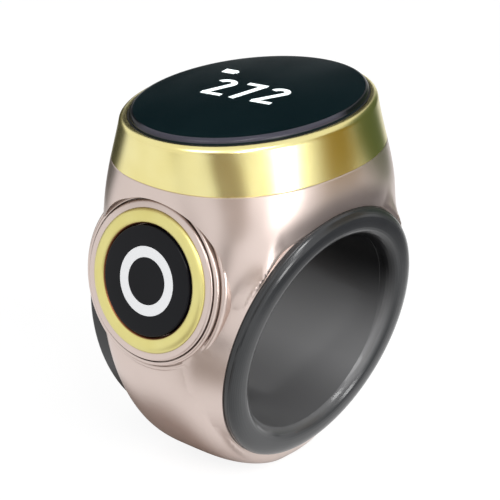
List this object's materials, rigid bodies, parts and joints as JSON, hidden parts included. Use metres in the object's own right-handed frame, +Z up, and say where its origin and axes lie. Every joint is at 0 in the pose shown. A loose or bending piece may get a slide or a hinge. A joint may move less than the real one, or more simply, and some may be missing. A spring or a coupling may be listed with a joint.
{
  "type": "finger counter ring",
  "caption": "Finger ring with an oval display window on top, a sprung round push button on its side and a dark lined bore with rounded flanges.",
  "frame": {"origin": "centre of the finger bore", "axes": "+Y along the bore towards the back flange, +Z up to the display, button on the -X side"},
  "size_m": [0.0294, 0.023, 0.0361],
  "materials": {
    "body_metal": "satin",
    "gold": "polished",
    "dark_glass": "polished",
    "liner": "satin",
    "black_cap": "polished",
    "white_mark": "polished",
    "seal": "matt",
    "steel": "satin",
    "flex": "satin",
    "contact": "polished",
    "board": "satin",
    "chip": "matt",
    "frame_plastic": "matt",
    "socket_plastic": "matt",
    "foil": "satin"
  },
  "bodies": {
    "case": {"ring_body": "body_metal", "bezel": "gold", "bezel_seal": "seal", "display_glass": "dark_glass", "glass_gasket": "seal", "finger_liner": "liner", "rear_flange": "liner", "button_trim": "gold", "button_collar": "body_metal", "button_seal": "seal", "side_switch": "chip", "switch_flex": "flex", "switch_plate": "steel", "display_panel": "chip", "display_flex": "flex", "display_carrier": "frame_plastic", "carrier_screws": "steel", "main_board": "board", "controller_chip": "chip", "board_parts": "socket_plastic", "flex_socket": "socket_plastic", "vibration_motor": "steel", "battery_cell": "foil", "battery_pad": "seal", "battery_tabs": "steel", "charge_contacts": "contact", "charge_flex": "flex"},
    "button": {"button_cap": "black_cap", "button_mark": "white_mark", "button_clip": "steel"},
    "plunger": {"switch_plunger": "contact"}
  },
  "joints": [
    {"name": "button_press", "type": "slide", "parent": "case", "child": "button", "axis": [0.9866, 0, -0.1633], "range_m": [0, 0.0003], "stiffness_N_per_m": 5000},
    {"name": "plunger_press", "type": "slide", "parent": "case", "child": "plunger", "axis": [0.9866, 0, -0.1633], "range_m": [0, 0.0003]}
  ],
  "couplings": [
    {"joint": "plunger_press", "follows": "button_press", "ratio": 1}
  ]
}
